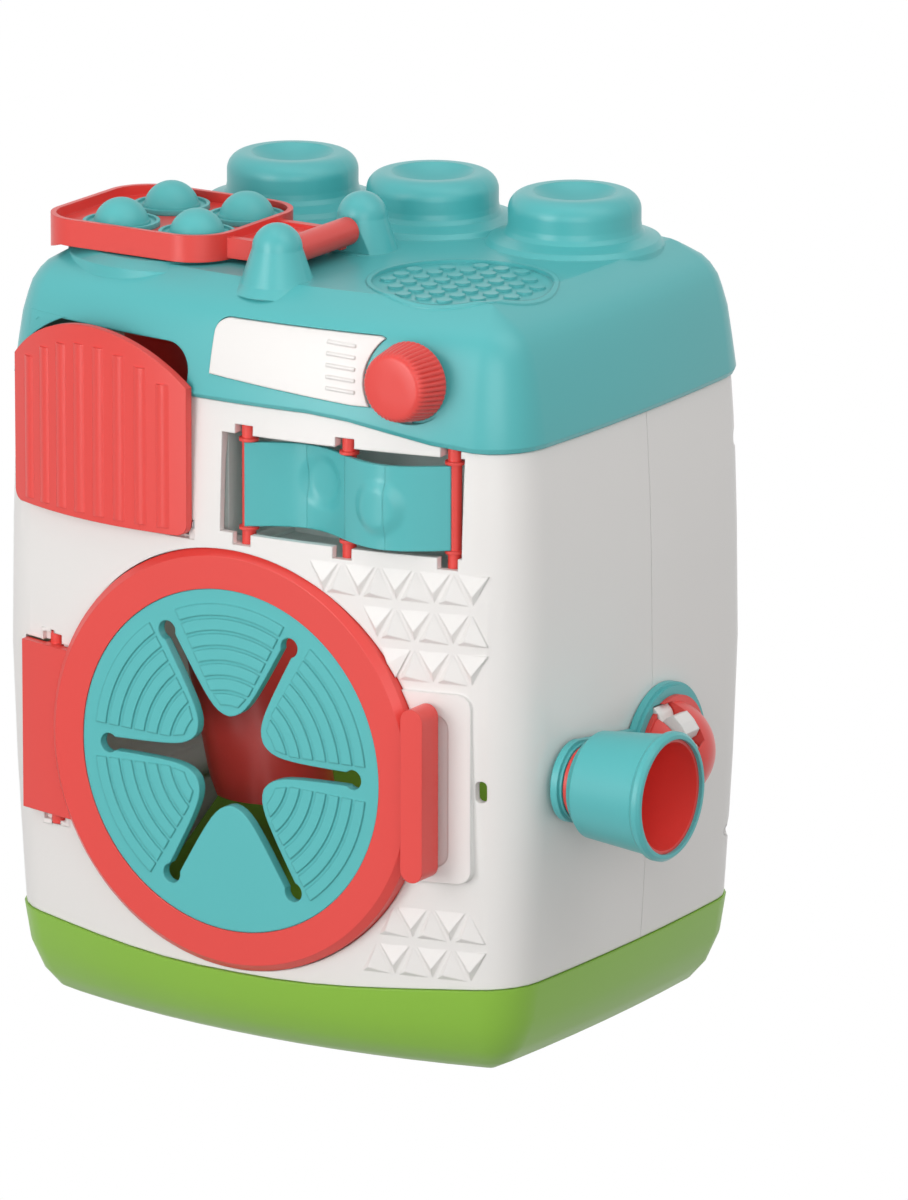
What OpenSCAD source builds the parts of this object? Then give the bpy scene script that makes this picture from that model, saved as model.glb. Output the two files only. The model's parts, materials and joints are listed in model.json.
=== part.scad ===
// Toy washing machine for babies: a ball-drop body with a soft star door, a tilting
// drawer, a turning knob, a wavy band, a hinged tray of pop domes and a spinning cup.
// Millimetres, +Z up, the door side faces -Y. Every piece is drawn in its resting place.

/* [Body] */
// Width over the bulged sides
body_w = 197.5; // [177.5:0.5:217.5]
// Depth over the bulged front and back
body_d = 168; // [152:0.5:184]
// Distance of the corner centres from the middle, across
corner_x = 75; // [67:0.5:83]
// Distance of the corner centres from the middle, front to back
corner_y = 52; // [47:0.5:57]
// Radius of the upright corners
corner_r = 22; // [21:0.5:24]
// Height of the flat top of the cover
body_h = 241; // [240:0.5:246]
// Wall thickness of the moulded shells
wall = 2.4; // [2:0.1:2.6]
// Clearance between pieces that never move against each other
gap = 0.15; // [0.1:0.05:0.25]
// Clearance round a turning shaft
run = 0.06; // [0.03:0.01:0.09]
// Where the front and rear shells meet
seam_y = 4; // [0:0.5:8]

/* [Door] */
// Height of the door's middle
door_z = 93.4; // [92:0.2:95]
// Outer radius of the door ring
ring_r = 66.8; // [64:0.2:66.8]
// Radius of the soft star disc that shows
disc_r = 54.3; // [50:0.2:55]
// Plane the door closes against
seat_y = -76; // [-77:0.25:-75]
// Front face of the door ring
ring_y = -83.2; // [-85:0.2:-82]
// Distance of a slot's end from the middle
slot_reach = 44.7; // [40:0.1:46]
// Half width of a slot near its end
slot_half = 2.1; // [1.7:0.1:2.4]
// Upright axis of the door hinge, across
hinge_x = -70; // [-71:0.25:-69]
// Upright axis of the door hinge, front to back
hinge_y = -73.5; // [-74:0.25:-73]

/* [Top] */
// Distance between the round studs
stud_pitch = 52; // [48:0.5:56]
// Radius of a stud
stud_r = 20.7; // [18:0.1:22]
// Height of a stud's rim above the flat top
stud_rise = 16; // [15:0.5:20]
// Line of the studs, front to back
stud_y = 33; // [28:0.5:38]
// Distance between the pop domes
dome_pitch = 28; // [26.5:0.5:29]
// Radius of a pop dome
dome_r = 8.75; // [7.5:0.05:9]
// Hinge line of the dome tray, across
lid_x = 1.5; // [0:0.5:3.5]
// Hinge line of the dome tray, height above the flat top
lid_rise = 7; // [6.6:0.2:8]

/* [Front] */
// Knob axis, across
knob_x = 60.5; // [58:0.5:63]
// Knob axis, height
knob_z = 219.7; // [217:0.5:221]
// Knob radius at its foot
knob_r = 12.4; // [11:0.2:12.6]
// How far the knob stands out
knob_out = 12; // [9:0.5:14]
// Middle of the tilting drawer, across
flap_x = -49.5; // [-50.5:0.5:-48.5]
// Half width of the drawer front
flap_half = 36; // [34.5:0.5:36]
// Radius of the drawer front's bulge
flap_bulge = 125; // [110:1:140]
// Height of the wavy band's middle
band_z = 181.3; // [180:0.1:182.5]
// Height of the wavy band
band_h = 26.4; // [22:0.2:28]

/* [Side] */
// Cup axis, front to back
cup_y = -43.3; // [-45:0.5:-41]
// Cup and wheel height
cup_z = 93; // [90:0.5:96]
// Radius of the cup's mouth
cup_r = 20; // [18:0.2:21]
// How far the cup's mouth stands from the middle of the body
cup_x = 134.6; // [130:0.2:138]
// Star wheel axis, front to back middle of the wheel
star_y = 3; // [2:0.5:5]
// Star wheel radius over its teeth
star_r = 11.6; // [10.6:0.2:11.8]

/* [Hidden] */
$fn = 72;

TEAL = "#62bbbf";
RED = "#e9534b";
WHITE = "#efeae8";
GREEN = "#8ebd40";
STEEL = "#a9adb2";
GREY = "#565656";

far = 200;
eps = 0.02;
stud_z = body_h + stud_rise;
lid_z = body_h + lid_rise;
// Bulge radii follow from the overall sizes and the corners they run into.
kd = body_d / 2 - corner_y;
kw = body_w / 2 - corner_x;
front_r = (corner_x * corner_x + kd * kd - corner_r * corner_r) / (2 * (kd - corner_r));
side_r = (corner_y * corner_y + kw * kw - corner_r * corner_r) / (2 * (kw - corner_r));
front_c = front_r - body_d / 2;
side_c = side_r - body_w / 2;
phi = asin(corner_x / (front_r - corner_r));
theta = asin(corner_y / (side_r - corner_r));
n_front = 12;
n_corner = 5;
n_side = 6;

function arc(cx, cy, r, a0, a1, n) =
    [for (i = [0 : n - 1]) let (a = a0 + (a1 - a0) * i / n) [cx + r * cos(a), cy + r * sin(a)]];
function ring(d) = concat(
    arc(0, front_c, front_r - d, 270 - phi, 270 + phi, n_front),
    arc(corner_x, -corner_y, corner_r - d, 270 + phi, 360 - theta, n_corner),
    arc(-side_c, 0, side_r - d, -theta, theta, n_side),
    arc(corner_x, corner_y, corner_r - d, theta, 90 - phi, n_corner),
    arc(0, -front_c, front_r - d, 90 - phi, 90 + phi, n_front),
    arc(-corner_x, corner_y, corner_r - d, 90 + phi, 180 - theta, n_corner),
    arc(side_c, 0, side_r - d, 180 - theta, 180 + theta, n_side),
    arc(-corner_x, -corner_y, corner_r - d, 180 + theta, 270 - phi, n_corner));
n_ring = 2 * n_front + 4 * n_corner + 2 * n_side;

// The cover's lower edge rises and the tray's upper edge dips over the front.
cover_edge = 199;
cover_rise = 7.6;
tray_edge = 30.2;
tray_dip = 5.2;
function ease(t) = (1 - cos(180 * max(0, min(1, t)))) / 2;
function cover_wave(p) = p[1] < 0
    ? cover_rise * (1 - ease((abs(p[0]) - 25) / 61)) * ease(-p[1] / 60) : 0;
function tray_wave(p) = p[1] < 0
    ? -tray_dip * (1 - ease((abs(p[0]) - 10) / 95)) * ease(-p[1] / 60) : 0;

// A level is [height, share of tray wave, share of cover wave, inset from the widest plan].
function level(l) = [for (p = ring(l[3]))
    [p[0], p[1], l[0] + l[1] * tray_wave(p) + l[2] * cover_wave(p)]];
// The same levels further in, or higher.
function inset_by(levels, d) = [for (l = levels) [l[0], l[1], l[2], l[3] + d]];
function lifted(levels, dz) = [for (l = levels) [l[0] + dz, l[1], l[2], l[3]]];
module loft(levels) {
    n = len(levels);
    rings = [for (l = levels) each level(l)];
    low = n * n_ring;
    pts = concat(rings, [[0, 0, levels[0][0]], [0, 0, levels[n - 1][0]]]);
    sides = [for (k = [0 : n - 2]) for (i = [0 : n_ring - 1])
        let (j = (i + 1) % n_ring, a = k * n_ring, b = a + n_ring)
        each [[a + i, b + i, b + j], [a + i, b + j, a + j]]];
    bottom = [for (i = [0 : n_ring - 1]) [low, i, (i + 1) % n_ring]];
    t = (n - 1) * n_ring;
    top = [for (i = [0 : n_ring - 1]) [low + 1, t + (i + 1) % n_ring, t + i]];
    polyhedron(points = pts, faces = concat(sides, bottom, top), convexity = 6);
}

lip = 6;
floor_z = 2.4 + eps;
shell_out = [[tray_edge + 0.3, 1, 0, 3.7], [42, 0.3, 0, 3], [57, 0, 0, 2.2], [76, 0, 0, 1.2],
             [95, 0, 0, 0.6], [114, 0, 0, 0], [134, 0, 0, 0.3], [153, 0, 0, 0.6],
             [172, 0, 0, 1.2], [187, 0, 0.3, 2], [cover_edge - 0.3, 0, 1, 2.8]];
shell_in = [[tray_edge - lip - 6, 1, 0, 9.4], [tray_edge + 6, 1, 0, 9.2], [62, 0, 0, wall + 2],
            [95, 0, 0, wall + 0.6], [114, 0, 0, wall], [134, 0, 0, wall + 0.3],
            [172, 0, 0, wall + 1.2], [185, 0, 0.3, wall + 2.1], [cover_edge - 6, 0, 1, 6.6],
            [cover_edge + lip + 6, 0, 1, 7.6]];
lip_low = [[tray_edge - lip, 1, 0, 7.6], [tray_edge + 4, 1, 0, 5.8]];
lip_top = [[cover_edge - 4, 0, 1, 4.1], [cover_edge + lip, 0, 1, 4.9]];
tray_out = [[0, 0, 0, 20], [3, 0, 0, 14], [8.7, 0, 0, 9], [18, 0.3, 0, 4.9],
            [tray_edge, 1, 0, 3]];
tray_in = [[2.4, 0, 0, 20.6], [5.4, 0, 0, 16.2], [11, 0, 0, 11.4], [20, 0.5, 0, 6.6],
           [tray_edge + 3, 1, 0, 5.3]];
cover_face = [[cover_edge + 1.6, 0, 0.95, 1.15], [211, 0, 0.35, 2.6], [220, 0, 0, 4],
              [226, 0, 0, 5.7], [230, 0, 0, 7.1], [233, 0, 0, 9.1], [235.6, 0, 0, 11.7]];
cover_out = concat([[cover_edge, 0, 1, 2]], cover_face, [[body_h - 3, 0, 0, 15.8],
                   [body_h - 1, 0, 0, 19.4], [body_h, 0, 0, 21.6]]);
cover_in = [[cover_edge - 7, 0, 1, 3.7], [cover_edge + lip + 1, 0, 0.9, 4.4],
            [220, 0, 0, 4 + wall], [226, 0, 0, 5.7 + wall], [230, 0, 0, 7.4 + wall],
            [233, 0, 0, 10 + wall], [235, 0, 0, 15], [body_h - wall, 0, 0, 20.6]];

function front_at(x, out = 0) = front_c - sqrt(pow(front_r + out, 2) - x * x);

module along_y(x, z, y0, y1, r, r2 = -1) {
    translate([x, y0, z]) rotate([-90, 0, 0]) cylinder(h = y1 - y0, r1 = r, r2 = r2 < 0 ? r : r2);
}
module along_x(y, z, x0, x1, r, r2 = -1) {
    translate([x0, y, z]) rotate([0, 90, 0]) cylinder(h = x1 - x0, r1 = r, r2 = r2 < 0 ? r : r2);
}
module block(x0, x1, y0, y1, z0, z1) {
    translate([x0, y0, z0]) cube([x1 - x0, y1 - y0, z1 - z0]);
}
// Upright rounded rectangle seen from the front, pushed through from y0 to y1.
module front_pad(x0, x1, z0, z1, y0, y1, r) {
    block(x0 + r, x1 - r, y0, y1, z0, z1);
    block(x0, x1, y0, y1, z0 + r, z1 - r);
    for (x = [x0 + r, x1 - r]) {
        for (z = [z0 + r, z1 - r]) {
            along_y(x, z, y0, y1, r);
        }
    }
}
// Upright curved plate that follows the front, between two offsets from it.
module front_band(x0, x1, z0, z1, inner, outer) {
    intersection() {
        difference() {
            translate([0, front_c, z0]) cylinder(h = z1 - z0, r = front_r + outer, $fn = 360);
            translate([0, front_c, z0 - 1]) cylinder(h = z1 - z0 + 2, r = front_r + inner, $fn = 360);
        }
        block(x0, x1, -far, 0, z0, z1);
    }
}

// Base

post_x = 72;
post_y = 46;
post_r = 5;
screw_r = 1.5;
head_r = 3;
well_r = head_r + 0.4;
post_top = 22;
// Height the screw heads are sunk to, and their thickness
well_top = 8;
head_t = 2.4;
foot_x = 56;
foot_y = 46;
foot_r = 8;
foot_out = 0.8;
foot_in = 1.2;
module at_corners(x, y) {
    for (sx = [-1, 1]) {
        for (sy = [-1, 1]) {
            translate([sx * x, sy * y, 0]) children();
        }
    }
}
module base_tray() {
    color(GREEN) difference() {
        union() {
            difference() {
                loft(tray_out);
                loft(tray_in);
            }
            at_corners(post_x, post_y) translate([0, 0, 1])
                cylinder(h = post_top - 1 - gap, r = post_r);
        }
        at_corners(post_x, post_y) translate([0, 0, -1]) cylinder(h = well_top + 1, r = well_r);
        at_corners(post_x, post_y) translate([0, 0, -1])
            cylinder(h = post_top + 2, r = screw_r + 0.2);
        at_corners(foot_x, foot_y) translate([0, 0, -1]) cylinder(h = 1 + foot_in, r = foot_r);
    }
}
module rubber_feet() {
    color(GREY) at_corners(foot_x, foot_y) translate([0, 0, -foot_out])
        cylinder(h = foot_out + foot_in - eps, r = foot_r - gap);
}
module screw(len) {
    cylinder(h = head_t, r = head_r);
    cylinder(h = len, r = screw_r - 0.05);
}
module base_screws() {
    color(STEEL) at_corners(post_x, post_y) translate([0, 0, well_top - head_t - eps])
        screw(26);
}

// Shells

bolt_x = 90.6;
bolt_r = 5;
bolt_z = [52, 178];
bolt_head_y = 16;
module shell_wall() {
    difference() {
        union() {
            loft(shell_out);
            loft(lip_low);
            loft(lip_top);
        }
        loft(shell_in);
    }
}
// Bosses the base screws run up into, carried by webs from the side walls.
module foot_boss(sy) {
    for (sx = [-1, 1]) {
        difference() {
            union() {
                translate([sx * post_x, sy * post_y, post_top]) cylinder(h = 14, r = post_r);
                translate([sx * (post_x + 9.6) - 9.6, sy * post_y - 2, post_top])
                    cube([19.2, 4, 14]);
            }
            translate([sx * post_x, sy * post_y, post_top - 1]) cylinder(h = 12, r = screw_r);
        }
    }
}

// Door opening, hinge pocket and latch plate on the front

seat_t = 2.4;
seat_rim = 2.7;
door_hole = 56;
tab_x0 = -81.8;
tab_x1 = -58;
tab_z0 = 65;
tab_z1 = 119;
tab_gap = 0.6;
pin_r = 2.2;
barrel_r = 3.2;
ear = 4;
plate_x1 = 81.4;
plate_z0 = 64;
plate_z1 = 124;
plate_out = 1.2;

win_x0 = -3.4;
win_x1 = 77.6;
win_z0 = 166;
win_z1 = 197;
rod_x = [4.5, 39.3, 73.2];
rod_r = 2.2;
rod_z0 = 162.6;
rod_z1 = 200;
function rod_y(x) = front_at(x) + 5.4;

open_x0 = -83;
open_x1 = -16.2;
open_z0 = 162.6;
open_z1 = 222;
open_r = 9;

lug_t = 2.8;
tri_w = 9.6;
tri_h = 9.4;
tri_out = 0.9;
tri_dx = 12;
tri_dz = 12.4;
tri_root = 1.5;
function shell_inset(z) = lookup(z, [for (l = shell_out) [l[0], l[3]]]);
module pillow(x, z, up) {
    d = shell_inset(z);
    s = up ? 1 : -1;
    translate([x, front_at(x, -d), z]) rotate([90, 0, asin(x / (front_r - d))])
        translate([0, 0, -tri_root]) linear_extrude(tri_root + tri_out) polygon([
            [-tri_w / 2, -s * tri_h / 3], [tri_w / 2, -s * tri_h / 3], [0, s * tri_h * 2 / 3]]);
}
// A row of pillows: downward ones stand on the star points, upward ones between them.
module pillow_row(x, z, down0, down1, up0, up1) {
    for (k = [down0 : down1]) {
        pillow(x + k * tri_dx, z + tri_dz * 0.6, false);
    }
    for (k = [up0 : up1]) {
        pillow(x + (k + 0.5) * tri_dx, z + tri_dz * 0.34, true);
    }
}
module lattice() {
    pillow_row(45.3, 150.6, -1, 3, -1, 2);
    pillow_row(51.3, 138.2, 0, 2, 0, 2);
    pillow_row(57.3, 125.8, 0, 2, 0, 1);
    pillow_row(61.4, 43.6, 0, 1, -1, 1);
    pillow_row(55.4, 31.2, 0, 2, -1, 1);
}
module front_shell() {
    color(WHITE) difference() {
        union() {
            difference() {
                union() {
                    shell_wall();
                    lattice();
                    intersection() {
                        front_band(50, plate_x1, plate_z0, plate_z1, -2, plate_out - 0.5);
                        front_pad(50, plate_x1, plate_z0, plate_z1, -far, 0, 4.5);
                    }
                    // seat for the door
                    intersection() {
                        along_y(0, door_z, -90, seat_y + seat_t, ring_r + seat_rim);
                        loft(shell_out);
                        block(-far, far, -far, 0, tray_edge - tray_dip + 0.5, far);
                    }
                    // ears behind the hinge notches
                    for (z = [tab_z1 + tab_gap, tab_z0 - tab_gap - ear]) {
                        block(hinge_x - 5, hinge_x + 5, hinge_y - 1.6, hinge_y + 5, z, z + ear);
                    }
                }
                // door recess and way in
                along_y(0, door_z, -far, seat_y, ring_r + 0.3);
                along_y(0, door_z, -far, 0, door_hole);
                // pocket the hinge tab swings into
                block(tab_x0 - 0.9, hinge_x + 4, -far, -55, tab_z0 - tab_gap, tab_z1 + tab_gap);
                block(hinge_x, tab_x1, -far, seat_y, tab_z0 - tab_gap, tab_z1 + tab_gap);
                // notches that show the hinge pins
                block(hinge_x - 4.4, hinge_x + 3.6, -far, hinge_y, tab_z1, tab_z1 + 3.4);
                block(hinge_x - 4.4, hinge_x + 3.6, -far, hinge_y, tab_z0 - 3, tab_z0);
                translate([hinge_x, hinge_y, tab_z0 - ear - 0.3])
                    cylinder(h = tab_z1 - tab_z0 + 2 * ear + 0.6, r = pin_r + run);
                // finger recess behind the handle
                front_pad(64.4, 74.4, 69, 117.2, -far, front_at(69) + 0.9, 4.6);
                // small peep slot
                front_pad(82, 85.4, 90, 96.8, -far, -40, 1.6);
                // window with a notch for each rod end
                block(win_x0, win_x1, -far, -60, win_z0, win_z1);
                for (x = rod_x) {
                    block(x - 3.2, x + 3.2, -far, rod_y(x) + rod_r + 0.6,
                          win_z0 - 3.6, win_z1 + 3);
                }
                at_rods() translate([0, 0, 150]) cylinder(h = 60, r = rod_r + gap);
                // drawer opening
                front_pad(open_x0, open_x1, open_z0, open_z1, -far, -40, open_r);
                block(open_x0, open_x1, -far, -40, open_z0, open_z0 + 20);
                // room for the flap's lower corners as it tilts
                at_drawer() block(-flap_half - 0.5, flap_half + 0.5, -far, pin_in + 0.6,
                                  drawer_z0 - 1.4, pin_drawer_z);
                // room for the knob's back edge
                along_y(knob_x, knob_z, -far, knob_seat_y, knob_seat);
            }
            foot_boss(-1);
            for (z = bolt_z) {
                for (s = [-1, 1]) {
                    along_y(s * bolt_x, z, -14, seam_y - eps, bolt_r);
                }
            }
            // lugs that carry the drawer pin
            at_drawer() for (x = [-pin_half - 0.6, pin_half + 0.6 - lug_t]) {
                block(x, x + lug_t, 3.3, pin_in + 3.6, pin_drawer_z - 5, pin_drawer_z + 4);
            }
        }
        block(-far, far, seam_y - eps, far, -far, 300);
        for (z = bolt_z) {
            for (s = [-1, 1]) {
                along_y(s * bolt_x, z, -11, seam_y + 1, screw_r);
            }
        }
        at_drawer() along_x(pin_in, pin_drawer_z, -pin_half - 0.1, pin_half + 0.1, drawer_pin_r);
        // side toy: hole for the cup's hub, pit of the star wheel and a screw hole
        along_x(cup_y, cup_z, 80, far, hub_hole);
        star_pit();
        along_x(screw_side_y[0], cup_z, 80, far, screw_r + 0.2);
    }
}
module rear_shell() {
    color(WHITE) difference() {
        union() {
            shell_wall();
            foot_boss(1);
            intersection() {
                for (z = bolt_z) {
                    for (s = [-1, 1]) {
                        along_y(s * bolt_x, z, seam_y, 80, bolt_r);
                    }
                }
                loft(shell_out);
            }
        }
        block(-far, far, -far, seam_y + eps, -far, 300);
        for (z = bolt_z) {
            for (s = [-1, 1]) {
                along_y(s * bolt_x, z, 0, 90, screw_r + 0.2);
                along_y(s * bolt_x, z, bolt_head_y, 90, well_r);
            }
        }
        star_pit();
        along_x(screw_side_y[1], cup_z, 80, far, screw_r + 0.2);
    }
}
module shell_screws() {
    color(STEEL) for (z = bolt_z) {
        for (s = [-1, 1]) {
            translate([s * bolt_x, bolt_head_y + head_t + eps, z]) rotate([90, 0, 0])
                screw(24);
        }
    }
}

// Cover

well_x = -50.5;
well_y = -32;
well_open = 26.5;
collar_low = 35.3;
collar_high = 30.5;
post_front = [lid_x, -58];
post_rear = [lid_x, -10];
post_base = body_h - 6;
lid_post_r = 13;
lid_post_top = 7.8;
bar_r = 4.4;
knob_seat = 13.2;
label_x0 = -8;
label_r = 4.5;
label_z0 = 214.8;
label_z1 = 231.5;
label_drop = 4;
label_bite = 15.6;
pad_x = 52;
pad_y = -32;
pad_r = 29.5;
pad_rim = 1.6;
bar_y0 = -50;
bar_y1 = -18.6;
stud_round = 5.5;
stud_dish = 5;
dish_r = 19.4;
module stud(x) {
    translate([x, stud_y, 0]) rotate_extrude() difference() {
        union() {
            polygon([[0, body_h - 10], [26.5, body_h - 10], [28.4, body_h - 4],
                     [28, body_h - 0.2], [26.6, body_h + 1.6], [24, body_h + 2.4],
                     [stud_r + 1.2, body_h + 3.2], [stud_r + 0.3, body_h + 4.6],
                     [stud_r, body_h + 6.4], [stud_r, stud_z - stud_round],
                     [0, stud_z - stud_round]]);
            translate([0, stud_z - stud_round]) square([stud_r - stud_round, stud_round]);
            translate([stud_r - stud_round, stud_z - stud_round]) intersection() {
                circle(r = stud_round);
                square(stud_round + 1);
            }
        }
        translate([0, stud_z - stud_dish + dish_r]) circle(r = dish_r);
    }
}
// Tapered post with a ball top, given its plan place and the height of the ball's middle.
module lid_post(p, z) {
    translate([p[0], p[1], post_base]) cylinder(h = z - post_base, r1 = lid_post_r, r2 = lid_post_top);
    translate([p[0], p[1], body_h - 4]) cylinder(h = 3, r1 = lid_post_r + 0.8, r2 = lid_post_r - 1.8);
    translate([p[0], p[1], z]) sphere(r = lid_post_top);
}
module label_shape(extra) {
    difference() {
        intersection() {
            front_pad(label_x0 - extra, 52, label_z0 - label_drop - extra, label_z1 + extra,
                      -far, 0, label_r);
            translate([label_x0 - 2, -far, label_z0 - extra]) rotate([0, 4.4, 0])
                cube([80, far, 40]);
        }
        along_y(knob_x, knob_z, -far - 1, 1, label_bite - extra);
    }
}
label_out = 0.7;
label_in = 1.1;
cover_label = concat([[cover_edge - 4, 0, 1, 2 + label_in]], inset_by(cover_face, label_in));
cover_proud = concat([[cover_edge - 4, 0, 1, 2]], inset_by(cover_face, -label_out));
module top_cover() {
    color(TEAL) difference() {
        union() {
            difference() {
                union() {
                    loft(cover_out);
                    for (k = [-1, 0, 1]) {
                        stud(k * stud_pitch);
                    }
                    lid_post(post_front, lid_z + 2.4);
                    lid_post(post_rear, lid_z + 3.2);
                    // sloping collar round the ball opening
                    translate([well_x, well_y, 233]) cylinder(h = body_h - 1.8 - 233, r = collar_low);
                    translate([well_x, well_y, body_h - 1.8])
                        cylinder(h = 2.3, r1 = collar_low, r2 = collar_high);
                    // low rim of the touch pad
                    intersection() {
                        translate([pad_x, pad_y, 225]) cylinder(h = 30, r = pad_r);
                        loft(lifted(cover_out, 0.5));
                    }
                }
                loft(cover_in);
                for (k = [-1, 0, 1]) {
                    translate([k * stud_pitch, stud_y, 230]) cylinder(h = 17, r = 16);
                }
                // touch pad sunk a little below its rim
                difference() {
                    translate([pad_x, pad_y, 225]) cylinder(h = 30, r = pad_r - pad_rim);
                    loft(lifted(cover_out, -0.9));
                }
                difference() {
                    label_shape(0.25);
                    loft(cover_label);
                }
            }
            // knob boss behind the face, and the touch bumps
            intersection() {
                along_y(knob_x, knob_z, -80, -60, 7);
                loft(cover_out);
            }
            intersection() {
                for (i = [-3 : 3]) {
                    for (j = [-3 : 3]) {
                        if (i * i + j * j < 11) {
                            translate([pad_x + i * 7.4, pad_y + j * 7.4, body_h - 2])
                                cylinder(h = 4, r = 2.5, $fn = 16);
                        }
                    }
                }
                loft(lifted(cover_out, -0.05));
            }
        }
        translate([well_x, well_y, 225]) cylinder(h = 30, r = well_open);
        // holes the tray's bar snaps into
        along_y(lid_x, lid_z, post_front[1] - 2, post_rear[1] + 2, pin_lid_r + run);
        block(lid_x - bar_r - 6, lid_x + bar_r + 5, bar_y0 - 0.8, bar_y1 + 0.8, body_h + 0.2, 262);
        // knob seat and shaft hole
        along_y(knob_x, knob_z, -far, knob_seat_y, knob_seat);
        along_y(knob_x, knob_z, -far, 0, knob_shaft_r + run);
        // room for the rod ends
        at_rods() translate([0, 0, 150]) cylinder(h = 60, r = rod_r + gap);
        // drawer opening
        front_pad(open_x0, open_x1, open_z0, open_z1, -far, -40, open_r);
    }
}
// Plate with five raised bars beside the knob.
module label_plate() {
    color(WHITE) difference() {
        union() {
            intersection() {
                label_shape(0);
                loft(cover_proud);
            }
            intersection() {
                for (k = [0 : 4]) {
                    translate([31.6 + 0.4 * k, -90, label_z1 - 3.2 - k * 3.4]) rotate([0, 3, 0])
                        cube([9.6, 20, 0.9]);
                }
                loft(inset_by(cover_proud, -0.4));
            }
        }
        loft(inset_by(cover_label, -0.05));
    }
}

// Knob

knob_seat_y = -73.6;
knob_shaft_r = 3.4;
knob_base_y = knob_seat_y - 0.3;
knob_face_y = knob_base_y - knob_out;
clip_y = -58;
module program_knob() {
    color(RED) {
        difference() {
            along_y(knob_x, knob_z, knob_face_y, knob_base_y, knob_r - 2, knob_r);
            for (a = [0 : 15 : 345]) {
                translate([knob_x, 0, knob_z]) rotate([0, a, 0])
                    along_y(knob_r - 0.1, 0, knob_face_y + 2, knob_base_y + 1, 0.9);
            }
        }
        along_y(knob_x, knob_z, knob_base_y - 1, clip_y, knob_shaft_r);
    }
}
module knob_clip() {
    color(STEEL) difference() {
        along_y(knob_x, knob_z, -59.8, -59, 6.2);
        along_y(knob_x, knob_z, -60, -58, knob_shaft_r + 0.01);
    }
}

// Tilting drawer, drawn in a frame that follows the front where it sits

drawer_pin_r = 1.5;
barrel_drawer_r = 3.4;
pin_in = 4;
pin_drawer_z = 166.6;
pin_half = 36.4;
drawer_t = 2.4;
drawer_z0 = 163.2;
drawer_out = 5.1;
bulge_turn = asin(flap_x / front_r);
rib_at = flap_bulge - 3.3;
arch_r = 51;
arch_z = 173.6;
bin_r = 40;
bin_turn = 30;
bin_half = 31.8;
module at_drawer() {
    translate([flap_x, front_at(flap_x), 0]) rotate([0, 0, bulge_turn]) children();
}
module bulge(r, z0, z1) {
    translate([0, flap_bulge - drawer_out, z0]) cylinder(h = z1 - z0, r = r, $fn = 180);
}
module drawer_outline(grow) {
    intersection() {
        front_pad(-flap_half - grow, flap_half + grow, drawer_z0 - grow, 240, -20, 30, 3.5);
        along_y(0, arch_z, -20, 30, arch_r + grow);
    }
}
module drawer_front() {
    color(RED) at_drawer() difference() {
        union() {
            intersection() {
                difference() {
                    bulge(flap_bulge, 150, 240);
                    bulge(flap_bulge - drawer_t, 149, 241);
                }
                drawer_outline(0);
            }
            // raised ribs down the face
            intersection() {
                for (k = [-3.5 : 3.5]) {
                    a = k * 3.7;
                    translate([rib_at * sin(a), flap_bulge - drawer_out - rib_at * cos(a), drawer_z0 + 2])
                        cylinder(h = sqrt(pow(arch_r, 2) - pow(k * 8, 2)) + arch_z - drawer_z0 - 8, r = 4);
                }
                difference() {
                    bulge(flap_bulge + 0.7, 150, 240);
                    bulge(flap_bulge - drawer_t, 149, 241);
                }
            }
            // bin: two sector walls, a sloping back and the hinge barrel
            for (x = [-bin_half, bin_half - 2]) {
                translate([x, pin_in, pin_drawer_z]) rotate([90, 0, 90]) linear_extrude(2) polygon(concat(
                    [[-4, -2], [4, -2]],
                    [for (a = [bin_turn : -3 : -6]) [bin_r * sin(a), bin_r * cos(a)]]));
            }
            translate([0, pin_in, pin_drawer_z]) rotate([-bin_turn, 0, 0])
                block(-bin_half, bin_half, -0.4, 1.6, -1, bin_r - 0.2);
            along_x(pin_in, pin_drawer_z, -bin_half, bin_half, barrel_drawer_r);
            block(-bin_half, bin_half, -1, pin_in, pin_drawer_z - 2.6, pin_drawer_z + 0.4);
            block(-20, 20, -3.6, 0, pin_drawer_z - 2.6, pin_drawer_z + 0.4);
        }
        along_x(pin_in, pin_drawer_z, -pin_half, pin_half, drawer_pin_r + run);
    }
}
module drawer_pin() {
    color(STEEL) at_drawer() along_x(pin_in, pin_drawer_z, -pin_half, pin_half, drawer_pin_r);
}

// Window, rods and wavy band

pocket_back = -58;
band_t = 1.6;
wave = 7;
module at_rods() {
    for (x = rod_x) {
        translate([x, rod_y(x), 0]) children();
    }
}
module window_pocket() {
    color(WHITE) difference() {
        union() {
            difference() {
                block(win_x0 - 2, win_x1 + 2, -78, pocket_back + 2, win_z0 - 6.2, win_z1 + 6.2);
                block(win_x0, win_x1, -far, pocket_back, win_z0 - 4.2, win_z1 + 4.2);
            }
            // posts with sockets for the rod ends
            for (x = rod_x) {
                for (z = [[win_z0 - 6.2, win_z0 - 2.8], [win_z1 + 2.4, win_z1 + 6.2]]) {
                    block(x - 3, x + 3, rod_y(x) + 0.3, pocket_back + 1, z[0], z[1]);
                }
            }
        }
        at_rods() translate([0, 0, 150]) cylinder(h = 60, r = rod_r);
        // trimmed to the inside of the shell and its door seat
        difference() {
            block(-10, 90, -90, -50, 150, 215);
            loft(inset_by(shell_in, 0.1));
        }
        along_y(0, door_z, -90, seat_y + seat_t + gap, ring_r + seat_rim + gap);
    }
}
module band_rods() {
    color(RED) for (x = rod_x) {
        translate([x, rod_y(x), rod_z0 - 1.4]) cylinder(h = rod_z1 - rod_z0 + 2.8, r = rod_r - 0.02);
        for (z = [band_z - band_h / 2 - 1.2, band_z + band_h / 2 + 0.2]) {
            translate([x, rod_y(x), z]) cylinder(h = 1, r = rod_r + 0.9);
        }
    }
}
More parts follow.
